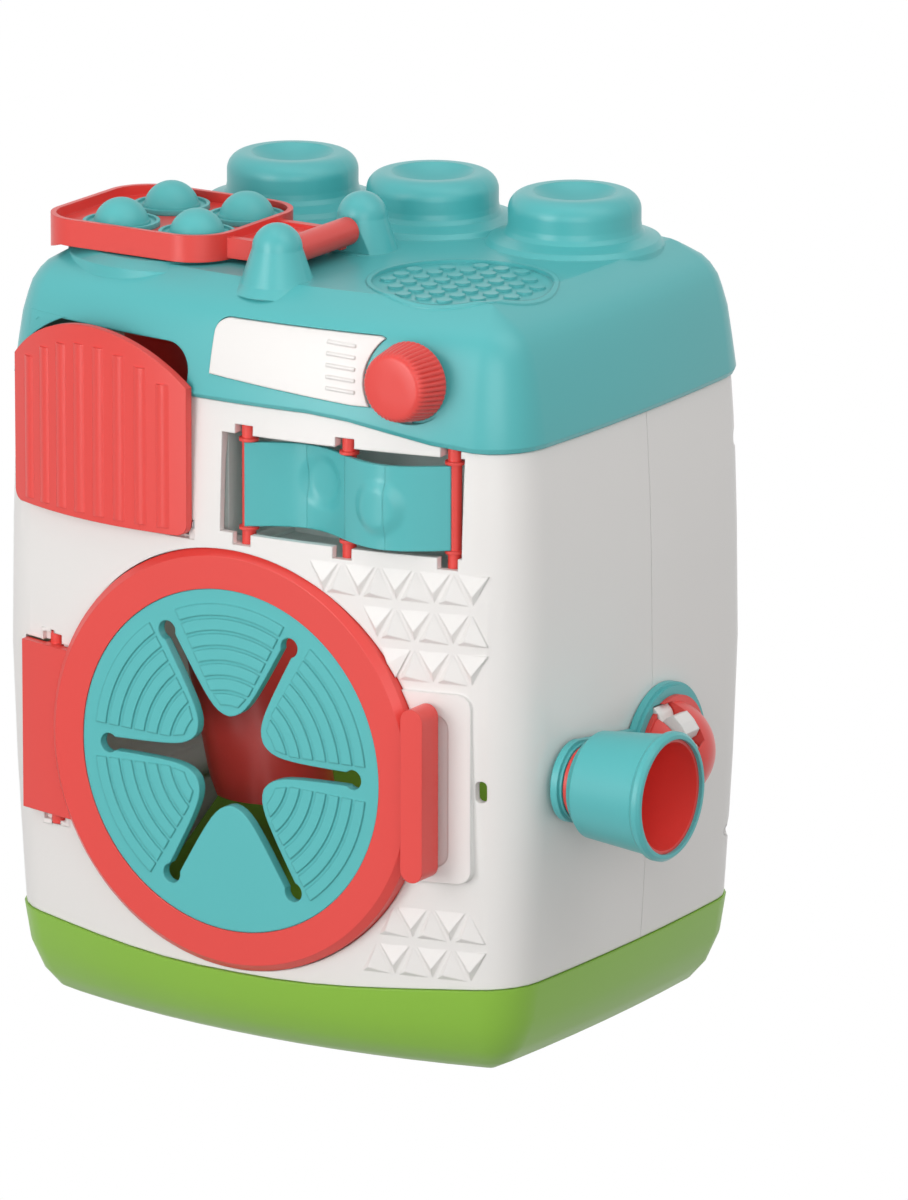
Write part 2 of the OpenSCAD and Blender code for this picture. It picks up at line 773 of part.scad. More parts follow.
// One half of the band: a strip that leaves one rod, bows by "bow" and reaches the next.
n_band = 16;
function band_mid(xa, xb, bow, t) = [xa + (xb - xa) * t,
    rod_y(xa) + (rod_y(xb) - rod_y(xa)) * t + bow * (1 - cos(360 * t)) / 2];
module band_half(xa, xb, bow) {
    pa = [for (i = [0 : n_band]) band_mid(xa, xb, bow, i / n_band)];
    translate([0, 0, band_z - band_h / 2]) linear_extrude(band_h) polygon(concat(
        [for (i = [0 : n_band]) pa[i] - [0, band_t / 2 + 1.9]],
        [for (i = [n_band : -1 : 0]) pa[i] + [0, band_t / 2 - 1.9]]));
}
module band_eye(x, r) {
    translate([x, rod_y(x), band_z - band_h / 2]) cylinder(h = band_h, r = r);
}
module wave_band_left() {
    color(TEAL) difference() {
        union() {
            band_half(rod_x[0], rod_x[1] - 0.8, wave);
            band_eye(rod_x[0], rod_r + 1.7);
        }
        band_eye_hole(rod_x[0]);
        band_eye_hole(rod_x[1]);
    }
}
module band_eye_hole(x) {
    translate([x, rod_y(x), band_z - band_h]) cylinder(h = band_h * 2, r = rod_r + 0.1);
}
module wave_band_right() {
    color(TEAL) difference() {
        union() {
            band_half(rod_x[1] + 0.8, rod_x[2], -wave);
            band_eye(rod_x[2], rod_r + 1.7);
        }
        band_eye_hole(rod_x[1]);
        band_eye_hole(rod_x[2]);
    }
}

// Door

lip_t = 2;
flange_t = 1.6;
flange_r = disc_r + 3.4;
chord_x = 62.8;
handle_out = 4.6;
retain_r = 61;
retain_at = 59.4;
retain_y = ring_y + lip_t + flange_t;
retain_t = 2.2;
small_r = 1.1;
small_head = 1.6;
module at_retainer() {
    for (a = [45 : 90 : 315]) {
        translate([retain_at * cos(a), 0, door_z + retain_at * sin(a)]) children();
    }
}
module door_ring() {
    color(RED) difference() {
        union() {
            difference() {
                union() {
                    along_y(0, door_z, ring_y + 2.2, seat_y - 0.2, ring_r);
                    along_y(0, door_z, ring_y, ring_y + 2.2, ring_r - 2.2, ring_r);
                }
                along_y(0, door_z, -far, 0, disc_r);
                // flat on the handle side
                block(chord_x, far, -far, 0, 0, far);
            }
            front_band(tab_x0, tab_x1 - 2, tab_z0, tab_z1, -0.4, 2.9);
            translate([hinge_x, hinge_y, tab_z0]) cylinder(h = tab_z1 - tab_z0, r = barrel_r);
            block(hinge_x - 2.6, hinge_x + 2.6, -77.6, hinge_y, tab_z0, tab_z1);
            translate([hinge_x, hinge_y, tab_z0 - ear])
                cylinder(h = tab_z1 - tab_z0 + 2 * ear, r = pin_r);
            // handle tongue, tied to the ring by a low web
            intersection() {
                front_pad(chord_x + 2.2, chord_x + 10, 66.4, 121, ring_y - handle_out, seat_y - 2.6, 3.8);
                block(0, far, -far, 0, 0, far);
            }
            block(chord_x - 5, chord_x + 4, ring_y + 2.8, seat_y - 2.6, 70, 117);
        }
        along_y(0, door_z, -far, 0, disc_r);
        along_y(0, door_z, ring_y + lip_t, 0, flange_r + gap);
        along_y(0, door_z, retain_y, 0, retain_r + gap);
        at_retainer() along_y(0, 0, retain_y - 2.5, 0, small_r);
    }
}
// Slot outline: narrow at the end, flaring into its neighbours near the middle.
petal_tip = 14.2;
tip_at = petal_tip * cos(30);
flare_near = 3.2;
flare_wide = petal_tip / 2 - slot_half - flare_near;
n_slot = 12;
function slot_w(r) = slot_half + flare_near * exp((tip_at - r) / 2.6)
    + flare_wide * exp((tip_at - r) / 10);
slot_start = tip_at - 0.5;
slot_r = [for (i = [0 : n_slot]) slot_start + (slot_reach - slot_start) * pow(i / n_slot, 2)];
module star_slot() {
    polygon(concat([[0, 0]], [for (i = [0 : n_slot]) [slot_r[i], -slot_w(slot_r[i])]],
        [for (i = [n_slot : -1 : 0]) [slot_r[i], slot_w(slot_r[i])]]));
    translate([slot_reach, 0]) circle(r = slot_half + 1);
}
module star_cut(h) {
    rotate([90, 0, 0]) linear_extrude(h) union() {
        circle(r = petal_tip - 2.4);
        for (a = [0 : 60 : 300]) {
            rotate(a + 1) star_slot();
        }
    }
}
rib_h = 0.5;
rib_pitch = 4.7;
module star_disc() {
    color(TEAL) difference() {
        union() {
            along_y(0, door_z, ring_y + 0.3, ring_y + lip_t, disc_r - 0.1);
            along_y(0, door_z, ring_y + lip_t, retain_y, flange_r);
            // raised arcs on the petals, left off the lowest one
            intersection() {
                for (k = [0 : 6]) {
                    difference() {
                        along_y(0, door_z, ring_y + 0.3 - rib_h, ring_y + 1, 21.4 + k * rib_pitch);
                        along_y(0, door_z, ring_y - 5, ring_y + 5, 17.8 + k * rib_pitch);
                    }
                }
                for (a = [30, 90, 150, 210, 330]) {
                    translate([0, 0, door_z]) rotate([90, 0, 0]) rotate(a) linear_extrude(far)
                        polygon([[14, 0], [22, -7.2], [48.6, -21.6], [51, 0], [48.6, 21.6], [22, 7.2]]);
                }
            }
        }
        translate([0, 0, door_z]) star_cut(far);
    }
}
module disc_retainer() {
    color(WHITE) difference() {
        along_y(0, door_z, retain_y + eps, retain_y + retain_t, retain_r);
        along_y(0, door_z, -far, 0, disc_r - 3);
        at_retainer() along_y(0, 0, -far, 0, small_r + gap);
    }
}
module retainer_screws() {
    color(STEEL) at_retainer() {
        along_y(0, 0, retain_y - 2.4, retain_y + retain_t + 1, small_r - 0.02);
        along_y(0, 0, retain_y + retain_t + eps, retain_y + retain_t + 1.1, small_head);
    }
}

// Ball chute inside

chute_r = 19;
chute_bend = 214;
chute_tilt = 12.7;
chute_end = 70;
// Slanting cut at its left end: a point of the cut in x and z, and its slope
slant_at = [-46.9, 92.7];
slant = 50;
// Funnel and slanting tube, thinner by "thin" all round and longer by "over" at its ends.
module chute_bore(thin, over) {
    translate([well_x, well_y, chute_bend]) cylinder(h = body_h - wall - 0.3 - chute_bend + over,
        r1 = chute_r + 0.6 - thin, r2 = well_open + 2 - thin);
    intersection() {
        translate([well_x, well_y, chute_bend + 4]) rotate([0, 180 - chute_tilt, 0])
            translate([0, 0, -over]) cylinder(h = 160, r = chute_r - thin);
        block(-far, far, -far, far, chute_end - over, 300);
        translate([slant_at[0], 0, slant_at[1]]) rotate([0, slant, 0])
            translate([-far, -far, -over]) cube(2 * far);
    }
}
module drop_chute() {
    color(RED) difference() {
        chute_bore(0, 0);
        chute_bore(2, 1);
    }
}

// Ramp that leads the balls to the door, on two ribs that stand on the base

ramp_x = 54;
ramp_y0 = -70;
ramp_y1 = 71;
ramp_z0 = 20;
ramp_slope = 30.3;
ramp_t = 2;
rib_x = 38;
function ramp_z(y) = ramp_z0 + (y - ramp_y0) * tan(ramp_slope);
module along_ramp(x0, x1, pts) {
    translate([x0, 0, 0]) rotate([90, 0, 90]) linear_extrude(x1 - x0) polygon(pts);
}
module ball_ramp() {
    color(GREEN) {
        along_ramp(-ramp_x, ramp_x, [[ramp_y0, ramp_z0 - ramp_t], [ramp_y1, ramp_z(ramp_y1) - ramp_t],
            [ramp_y1, ramp_z(ramp_y1)], [ramp_y0, ramp_z0]]);
        for (x = [-rib_x, rib_x]) {
            along_ramp(x - 1, x + 1, [[-58, floor_z], [58, floor_z], [58, ramp_z(58) - 1],
                                      [-58, ramp_z(-58) - 1]]);
        }
    }
}

// Dome tray

tray_x0 = -87;
tray_x1 = -22;
tray_y0 = -60.5;
tray_y1 = -3;
tray_r = 14;
tray_z0 = body_h + 1;
tray_floor = tray_z0 + 5.2;
tray_wall = 1.8;
rim_high = tray_z0 + 8.4;
// The wall reaches lower over the cover's left shoulder.
skirt_x = -77;
skirt_drop = 3;
dome_x = well_x + 0.7;
pin_lid_r = 2.6;
dome_flange = 12;
module plan_pad(x0, x1, y0, y1, z0, z1, r) {
    block(x0 + r, x1 - r, y0, y1, z0, z1);
    block(x0, x1, y0 + r, y1 - r, z0, z1);
    for (x = [x0 + r, x1 - r]) {
        for (y = [y0 + r, y1 - r]) {
            translate([x, y, z0]) cylinder(h = z1 - z0, r = r);
        }
    }
}
module at_domes() {
    for (sx = [-1, 1]) {
        for (sy = [-1, 1]) {
            translate([dome_x + sx * dome_pitch / 2, well_y + sy * dome_pitch / 2, 0]) children();
        }
    }
}
module tray_inside(z0, z1) {
    plan_pad(tray_x0 + tray_wall, tray_x1 - tray_wall, tray_y0 + tray_wall, tray_y1 - tray_wall,
             z0, z1, tray_r - tray_wall);
}
module dome_tray() {
    color(RED) difference() {
        union() {
            difference() {
                plan_pad(tray_x0, tray_x1, tray_y0, tray_y1, tray_z0 - skirt_drop, rim_high, tray_r);
                tray_inside(tray_floor, 270);
                tray_inside(230, tray_floor - 1.6);
                rotate([90, 0, 0]) translate([0, 0, -far]) linear_extrude(2 * far)
                    polygon([[0, tray_z0], [skirt_x, tray_z0], [tray_x0, tray_z0 - skirt_drop],
                             [tray_x0 - 1, tray_z0 - skirt_drop - 5], [0, tray_z0 - skirt_drop - 5]]);
            }
            // arm and hinge bar
            block(tray_x1 - 1, lid_x - 3, bar_y0 + 0.4, bar_y1 - 0.4, tray_floor - 0.6, lid_z - 0.4);
            for (y = [bar_y0 + 0.4, bar_y1 - 3.4]) {
                block(tray_x1 - 1, lid_x, y, y + 3, tray_z0 + 0.6, lid_z + 1);
            }
            along_y(lid_x, lid_z, bar_y0, bar_y1, bar_r);
            along_y(lid_x, lid_z, post_front[1] + 1, post_rear[1] - 1, pin_lid_r);
        }
        at_domes() translate([0, 0, 230]) cylinder(h = 30, r = dome_r + 0.4);
    }
}
dome_t = 1.3;
sheet_t = 1.6;
// Soft dome with a flat flange whose edge stands up as a bead.
module pop_dome(sx, sy) {
    c = tray_floor - 0.1;
    color(TEAL) translate([dome_x + sx * dome_pitch / 2, well_y + sy * dome_pitch / 2, 0])
        difference() {
            union() {
                translate([0, 0, tray_floor + eps]) cylinder(h = sheet_t, r = dome_flange);
                translate([0, 0, tray_floor - 1.5]) cylinder(h = 3, r = dome_r + 0.3);
                translate([0, 0, c]) sphere(r = dome_r);
            }
            translate([0, 0, c]) sphere(r = dome_r - dome_t);
            translate([0, 0, 220]) cylinder(h = c - 220, r = dome_r - dome_t);
            translate([0, 0, 220]) cylinder(h = tray_floor - 1.5 - 220, r = 20);
            translate([0, 0, tray_floor + 0.9]) difference() {
                cylinder(h = 2, r = dome_flange - 1.2);
                translate([0, 0, -1]) cylinder(h = 4, r = dome_r + 0.2);
            }
        }
}
module pop_dome_a() { pop_dome(-1, -1); }
module pop_dome_b() { pop_dome(-1, 1); }
module pop_dome_c() { pop_dome(1, -1); }
module pop_dome_d() { pop_dome(1, 1); }

// Side toy: plate, wheel housing, spinning cup and star wheel

plate_x = 98.9;
plate_t = 3.4;
plate_face = plate_x + plate_t;
lobe_front = 12.8;
lobe_rear = 22;
rear_y = 9;
rear_z = cup_z - 3;
hub_r = 6;
hub_hole = 6.4;
screw_side_y = [-21, 20];
side_head_x = 92.6;
neck_r = 11.4;
cup_base_x = 105.2;
spindle_r = 4.5;
house_x = 116.5;
house_y = 8;
house_z = rear_z + 0.5;
house_r = 16;
house_dome = 16.5;
star_x = 103.5;
star_z = cup_z + 2;
star_w = 8;
module plate_shape(x0, x1, shrink) {
    along_x(cup_y, cup_z, x0, x1, lobe_front - shrink);
    along_x(rear_y, rear_z, x0, x1, lobe_rear - shrink);
    translate([x0, 0, 0]) rotate([90, 0, 90]) linear_extrude(x1 - x0) polygon([
        [cup_y - 1, cup_z - lobe_front + shrink + 0.1], [rear_y, rear_z - lobe_rear + shrink],
        [rear_y, rear_z], [rear_y - 18.5, rear_z + 11.4 - shrink],
        [cup_y + 3, cup_z + lobe_front - shrink - 0.4]]);
}
module side_plate() {
    color(TEAL) difference() {
        union() {
            plate_shape(plate_x, plate_face - 1, 0);
            plate_shape(plate_face - 1.02, plate_face, 1);
            along_x(cup_y, cup_z, 90, plate_x + 1, hub_r);
        }
        along_x(cup_y, cup_z, 80, far, spindle_r + run);
        // pit the star wheel turns in
        star_pit();
        for (y = screw_side_y) {
            along_x(y, cup_z, 80, far, screw_r);
        }
        star_shaft();
    }
}
module star_shaft() {
    along_y(star_x, star_z, star_y - axle_half, star_y + axle_half, axle_r);
}
module star_pit() {
    translate([star_x, star_y, star_z]) rotate([90, 0, 0]) translate([0, 0, -star_w / 2 - 0.5])
        cylinder(h = star_w + 1, r = star_r + 0.4);
}
module wheel_housing() {
    color(RED) difference() {
        union() {
            plate_shape(plate_face + 0.02, plate_face + 1.6, 3.8);
            translate([plate_face + eps, house_y, house_z]) rotate([0, 90, 0]) rotate_extrude()
                intersection() {
                    square([house_r, house_x - plate_face]);
                    translate([0, house_x - house_dome - plate_face]) circle(r = house_dome);
                }
        }
        star_pit();
        along_x(cup_y, cup_z, 80, far, neck_r + 0.3);
        star_shaft();
        for (y = screw_side_y) {
            along_x(y, cup_z, 80, plate_face + 1, screw_r);
        }
    }
}
axle_r = 1.5;
axle_half = 8;
module star_axle() {
    color(STEEL) along_y(star_x, star_z, star_y - axle_half + eps, star_y + axle_half - eps, axle_r - 0.01);
}
module star_wheel() {
    color(WHITE) translate([star_x, star_y - star_w / 2, star_z]) rotate([-90, 0, 0]) difference() {
        linear_extrude(star_w) union() {
            circle(r = 5);
            for (k = [0 : 4]) {
                rotate(-42 + k * 72) polygon([[0, -3.6], [star_r - 3, -4.4], [star_r - 0.6, -3.4],
                    [star_r - 0.2, 0], [star_r - 0.6, 3.4], [star_r - 3, 4.4], [0, 3.6]]);
            }
        }
        translate([0, 0, -1]) cylinder(h = star_w + 2, r = axle_r + run);
    }
}
module housing_screws() {
    color(STEEL) for (y = screw_side_y) {
        translate([side_head_x, y, cup_z]) rotate([0, 90, 0]) screw(10.6);
    }
}
module cup_liner() {
    color(RED) difference() {
        union() {
            along_x(cup_y, cup_z, plate_face + 0.3, cup_base_x + 4, neck_r);
            along_x(cup_y, cup_z, cup_base_x + 1.8, cup_x - 1.2, cup_r - 4.6, cup_r - 2.2);
            along_x(cup_y, cup_z, 84, plate_face + 1, spindle_r);
        }
        along_x(cup_y, cup_z, cup_base_x + 4, far, cup_r - 6, cup_r + 4.2);
    }
}
module cup_sleeve() {
    color(TEAL) difference() {
        union() {
            along_x(cup_y, cup_z, cup_base_x, cup_base_x + 3, cup_r - 6.2, cup_r - 3.4);
            along_x(cup_y, cup_z, cup_base_x + 3, cup_x - 4, cup_r - 3.4, cup_r - 1.2);
            along_x(cup_y, cup_z, cup_x - 4, cup_x - 2.6, cup_r - 1.2, cup_r);
            along_x(cup_y, cup_z, cup_x - 2.6, cup_x - 1, cup_r);
            along_x(cup_y, cup_z, cup_x - 1, cup_x, cup_r, cup_r - 1);
        }
        along_x(cup_y, cup_z, cup_base_x + 1.75, cup_x - 1.15, cup_r - 4.6, cup_r - 2.2);
        along_x(cup_y, cup_z, 80, far, neck_r + 0.01);
        along_x(cup_y, cup_z, cup_x - 1.2, far, cup_r - 2.2);
    }
}
module cup_clip() {
    color(STEEL) difference() {
        along_x(cup_y, cup_z, 87.6, 88.6, 7.4);
        along_x(cup_y, cup_z, 80, 100, spindle_r + 0.01);
    }
}

// The drawing is moved so that its box is centred over the origin and it rests on z = 0.
front_most = min(knob_face_y, ring_y - handle_out);
shift = [-(cup_x - body_w / 2) / 2, -(front_most + body_d / 2) / 2, foot_out];
translate(shift) {
    base_tray();
    rubber_feet();
    base_screws();
    front_shell();
    rear_shell();
    shell_screws();
    top_cover();
    label_plate();
    program_knob();
    knob_clip();
    drawer_front();
    drawer_pin();
    window_pocket();
    band_rods();
    wave_band_left();
    wave_band_right();
    door_ring();
    star_disc();
    disc_retainer();
    retainer_screws();
    drop_chute();
    ball_ramp();
    dome_tray();
    pop_dome_a();
    pop_dome_b();
    pop_dome_c();
    pop_dome_d();
    side_plate();
    wheel_housing();
    cup_liner();
    cup_sleeve();
    cup_clip();
    star_wheel();
    star_axle();
    housing_screws();
}
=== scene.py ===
# %% [markdown]
# # A toy washing machine
# The CAD model comes in as the frame. On top of it this lesson gives every piece a
# smooth look, a real material, soft studio light and the camera of the photograph.

# %% Load the frame
import json
import math
import bpy
import numpy as np
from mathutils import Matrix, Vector


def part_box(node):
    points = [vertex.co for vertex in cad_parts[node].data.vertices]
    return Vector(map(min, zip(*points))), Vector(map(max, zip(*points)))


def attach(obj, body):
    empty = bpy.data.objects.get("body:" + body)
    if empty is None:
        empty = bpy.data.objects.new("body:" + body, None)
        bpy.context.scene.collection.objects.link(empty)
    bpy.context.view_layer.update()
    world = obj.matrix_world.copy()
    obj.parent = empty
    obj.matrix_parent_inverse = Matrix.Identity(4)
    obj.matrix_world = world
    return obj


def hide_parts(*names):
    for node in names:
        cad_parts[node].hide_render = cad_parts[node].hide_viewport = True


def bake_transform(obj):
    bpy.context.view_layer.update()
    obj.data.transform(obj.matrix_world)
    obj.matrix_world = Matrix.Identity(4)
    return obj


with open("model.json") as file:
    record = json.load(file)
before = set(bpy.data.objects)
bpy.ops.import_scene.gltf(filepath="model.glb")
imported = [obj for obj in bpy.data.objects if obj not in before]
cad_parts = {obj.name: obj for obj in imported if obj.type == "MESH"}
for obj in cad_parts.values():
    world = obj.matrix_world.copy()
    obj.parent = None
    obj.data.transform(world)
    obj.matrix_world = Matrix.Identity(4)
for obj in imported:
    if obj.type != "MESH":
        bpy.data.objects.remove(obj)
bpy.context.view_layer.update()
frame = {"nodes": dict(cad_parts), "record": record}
NODES = frame["nodes"]
BODY_OF = {n: b for b, ns in frame["record"]["behaviour"]["bodies"].items() for n in ns}

# %% [markdown]
# ## Sizes
# The drawing of the toy works in millimetres in its own place; `SHIFT` moves a point
# from there to the frame, and one thousandth turns it into metres. Seen from above, the
# body's outline is a front arc of radius `FRONT_R`, a side arc of radius `SIDE_R` and a
# corner circle of radius `CORNER_R` around `CORNER`; `PHI` and `THETA` are the angles at
# which the two arcs end.

# %% Sizes shared with the drawing
MM = 0.001
SHIFT = np.array([-17.925, 1.9, 0.8])
FRONT_R, SIDE_R, CORNER_R = 308.25, 795.39, 22.0
FRONT_C, SIDE_C = FRONT_R - 84.0, SIDE_R - 98.75
CORNER = np.array([75.0, 52.0])
PHI = math.asin(CORNER[0] / (FRONT_R - CORNER_R))
THETA = math.asin(CORNER[1] / (SIDE_R - CORNER_R))


def to_frame(points):
    """Points of the drawing in mm become metres in the frame: add the shift, divide by 1000."""
    return (np.asarray(points, float) + SHIFT) * MM


# %% [markdown]
# ## Materials
# One small helper adds a node with its settings. `moulded` is injection-moulded plastic:
# a Principled shader with IOR 1.53, a faint mottling, a fine grain and a rounded edge,
# which the Bevel node gives by bending the normal near an edge.

# %% Material helpers
def srgb(code):
    """A hex colour as linear light: each channel through the sRGB curve."""
    c = np.array([int(code[i:i + 2], 16) for i in (1, 3, 5)]) / 255
    return (*np.where(c <= 0.04045, c / 12.92, ((c + 0.055) / 1.055) ** 2.4), 1.0)


def add(tree, kind, inputs=None, **settings):
    """A new node of that kind with its input values and settings."""
    node = tree.nodes.new(kind)
    for key, value in settings.items():
        setattr(node, key, value)
    for key, value in (inputs or {}).items():
        node.inputs[key].default_value = value
    return node


def moulded(name, code, roughness, grain_mm=0.9, grain=0.04, edge_mm=0.45, ior=1.53, metallic=0.0):
    """Moulded surface: noise of grain_mm bends the normal, a wide noise shifts the colour 2 %."""
    material = bpy.data.materials.new(name)
    material.use_nodes = True
    tree = material.node_tree
    tree.nodes.clear()
    link = tree.links.new
    out = add(tree, "ShaderNodeOutputMaterial")
    shader = add(tree, "ShaderNodeBsdfPrincipled",
                 {"Roughness": roughness, "IOR": ior, "Metallic": metallic})
    place = add(tree, "ShaderNodeTexCoord")
    wide = add(tree, "ShaderNodeTexNoise", {"Scale": 1 / (60 * MM), "Detail": 2.0})
    colour = srgb(code)
    mix = add(tree, "ShaderNodeMix", data_type="RGBA")
    mix.inputs["A"].default_value = (*[c * 0.975 for c in colour[:3]], 1)
    mix.inputs["B"].default_value = (*[min(1, c * 1.015) for c in colour[:3]], 1)
    fine = add(tree, "ShaderNodeTexNoise", {"Scale": 1 / (grain_mm * MM), "Detail": 3.0})
    bump = add(tree, "ShaderNodeBump", {"Strength": grain, "Distance": 0.1 * MM})
    edge = add(tree, "ShaderNodeBevel", {"Radius": edge_mm * MM}, samples=4)
    link(place.outputs["Object"], wide.inputs["Vector"])
    link(place.outputs["Object"], fine.inputs["Vector"])
    link(wide.outputs["Fac"], mix.inputs["Factor"])
    link(mix.outputs["Result"], shader.inputs["Base Color"])
    link(fine.outputs["Fac"], bump.inputs["Height"])
    link(edge.outputs["Normal"], bump.inputs["Normal"])
    link(bump.outputs["Normal"], shader.inputs["Normal"])
    link(shader.outputs["BSDF"], out.inputs["Surface"])
    return material


# %% [markdown]
# ## The colours
# Each colour is the one the photograph shows in plain light, as a hex value, except the
# pocket's, which is painted shade and a painted teal reflection on white plastic. `LOOK` gives
# every CAD node its material; the screws, pins and clips that aren't named are steel.

# %% The materials of the toy
# ABS for the hard shells, a soft rubber for what bends, and plated steel for fastenings.
WHITE = moulded("white ABS", "#f1eeeb", 0.36, edge_mm=0.7)
TEAL = moulded("teal ABS", "#55b9bb", 0.34, edge_mm=0.7)
RED = moulded("red ABS", "#e9463f", 0.34)
GREEN = moulded("green ABS", "#8cc03a", 0.38, edge_mm=0.8)
SOFT = moulded("teal soft rubber", "#58bcbd", 0.42, grain=0.06, edge_mm=0.8, ior=1.5)
# The pocket is white plastic: its mint grey is painted shade of the recess and a painted teal
# reflection.
POCKET_SHADE_AND_REFLECTION = moulded("white pocket ABS with painted shade and teal reflection", "#d6e4e0", 0.45)
FOOT = moulded("grey foot rubber", "#3a3a3a", 0.8, ior=1.5)
STEEL = moulded("zinc plated steel", "#b9bcc0", 0.32, grain=0.02, edge_mm=0.15, metallic=1.0)
LOOK = {
    "base_tray": GREEN, "ball_ramp": GREEN, "rubber_feet": FOOT, "window_pocket": POCKET_SHADE_AND_REFLECTION,
    "front_shell": WHITE, "rear_shell": WHITE, "label_plate": WHITE, "disc_retainer": WHITE,
    "star_wheel": WHITE, "top_cover": TEAL, "wave_band_left": TEAL, "wave_band_right": TEAL,
    "side_plate": TEAL, "cup_sleeve": TEAL, "star_disc": SOFT, "pop_dome_a": SOFT,
    "pop_dome_b": SOFT, "pop_dome_c": SOFT, "pop_dome_d": SOFT, "program_knob": RED,
    "drawer_front": RED, "band_rods": RED, "door_ring": RED, "drop_chute": RED,
    "dome_tray": RED, "wheel_housing": RED, "cup_liner": RED,
}
for name, node in NODES.items():
    node.data.materials.clear()
    node.data.materials.append(LOOK.get(name, STEEL))
print("materials on", len(NODES), "nodes")

# %% [markdown]
# ## The body's own surface
# The body's outline is made of a front arc, a side arc and a corner circle, and it moves
# in by an inset that changes with height. Because that surface is known as a formula, its
# exact normals can be given to the faceted CAD meshes, which makes their facets disappear.
# The seams rise and fall in a wave; a share of that wave is taken off the height first.
# Each level below is its height, its share of the tray's wave, its share of the cover's
# wave and its inset, all lengths in millimetres.

# %% The outline and its profile
SHELL = [[30.5, 1, 0, 3.7], [42, .3, 0, 3], [57, 0, 0, 2.2], [76, 0, 0, 1.2], [95, 0, 0, .6],
         [114, 0, 0, 0], [134, 0, 0, .3], [153, 0, 0, .6], [172, 0, 0, 1.2], [187, 0, .3, 2],
         [198.7, 0, 1, 2.8]]
TRAY = [[0, 0, 0, 20], [3, 0, 0, 14], [8.7, 0, 0, 9], [18, .3, 0, 4.9], [30.2, 1, 0, 3]]
COVER = [[199, 0, 1, 2], [200.6, 0, .95, 1.15], [211, 0, .35, 2.6], [220, 0, 0, 4],
         [226, 0, 0, 5.7], [230, 0, 0, 7.1], [233, 0, 0, 9.1], [235.6, 0, 0, 11.7],
         [238, 0, 0, 15.8], [240, 0, 0, 19.4], [241, 0, 0, 21.6]]


def ease(t):
    """Half a cosine wave: 0 below 0, 1 above 1."""
    return (1 - np.cos(math.pi * np.clip(t, 0, 1))) / 2


def seam_wave(x, y, level):
    """How far the seam's wave lifts a point: the tray's share and the cover's share."""
    tray = -5.2 * (1 - ease((np.abs(x) - 10) / 95)) * ease(-y / 60)
    cover = 7.6 * (1 - ease((np.abs(x) - 25) / 61)) * ease(-y / 60)
    return level[0] * tray + level[1] * cover


def outline(x, y):
    """Distance inside the outline and the outward direction of the nearest part of it."""
    ax, ay = np.abs(x), np.abs(y)
    near = [(ax, ay + FRONT_C, FRONT_R), (ax + SIDE_C, ay, SIDE_R),
            (ax - CORNER[0], ay - CORNER[1], CORNER_R)]
    length = [np.maximum(np.hypot(u, v), 1e-9) for u, v, r in near]
    inside = [r - l for (u, v, r), l in zip(near, length)]
    front = np.arctan2(ax, ay + FRONT_C) < PHI
    side = np.arctan2(ay, ax + SIDE_C) < THETA
    pick = np.where(front & (~side | (inside[0] <= inside[1])), 0, np.where(side, 1, 2))
    d = np.choose(pick, inside)
    u = np.choose(pick, [u / l for (u, v, r), l in zip(near, length)]) * np.where(x < 0, -1, 1)
    v = np.choose(pick, [v / l for (u, v, r), l in zip(near, length)]) * np.where(y < 0, -1, 1)
    return d, u, v


def profile(levels):
    """The levels as a dense smooth curve (Catmull-Rom): rows of height, shares and inset."""
    p = np.array([levels[0], *levels, levels[-1]], float)
    t = np.linspace(0, 1, 12, endpoint=False)[:, None]
    rows = [0.5 * (2 * b + (c - a) * t + (2 * a - 5 * b + 4 * c - d) * t**2
                   + (3 * b - a - 3 * c + d) * t**3)
            for a, b, c, d in zip(p, p[1:], p[2:], p[3:])]
    return np.vstack(rows + [p[-1:]])


def plain_level(x, y, z, curve):
    """The height a point would have if the seams were level; three rounds settle it."""
    level = z.copy()
    for step in range(3):
        shares = [np.interp(level, curve[:, 0], curve[:, k]) for k in (1, 2)]
        level = z - seam_wave(x, y, shares)
    return level


def body_normals(points, levels):
    """Distance from the formula's surface in mm and its outward normal, for points in mm.

    The nearest point of the profile gives the slope; its tangent, turned a quarter, has
    an outward part and an upward part."""
    x, y, z = points.T
    curve = profile(levels)
    d, u, v = outline(x, y)
    level = plain_level(x, y, z, curve)
    tangent = np.gradient(curve, axis=0)
    far = (d[:, None] - curve[None, :, 3])**2 + (level[:, None] - curve[None, :, 0])**2
    best = far.argmin(1)
    out, up = tangent[best, 0], tangent[best, 3]
    n = np.stack([u * out, v * out, up], 1)
    return np.sqrt(far.min(1)), n / np.linalg.norm(n, axis=1, keepdims=True)


print("profiles", [len(profile(p)) for p in (SHELL, TRAY, COVER)])

# %% [markdown]
# ## Smooth copies of the faceted pieces
# A copy of each faceted node takes the formula's normals on every face that lies on the
# formula's surface and points the same way. All other faces keep the normals they had.
# The copy then rides on the node's body and replaces the node in the picture.

# %% Smooth copies
def fresh_copy(name):
    """A new object with a copy of that node's mesh."""
    obj = bpy.data.objects.new(name + "_smooth", NODES[name].data.copy())
    bpy.context.collection.objects.link(obj)
    return obj


def read(items, key, width):
    """A property of many mesh elements as a numpy table."""
    values = np.zeros(len(items) * width, np.float32)
    items.foreach_get(key, values)
    return values.reshape(-1, width).astype(float)


SAME_WAY = 0.93


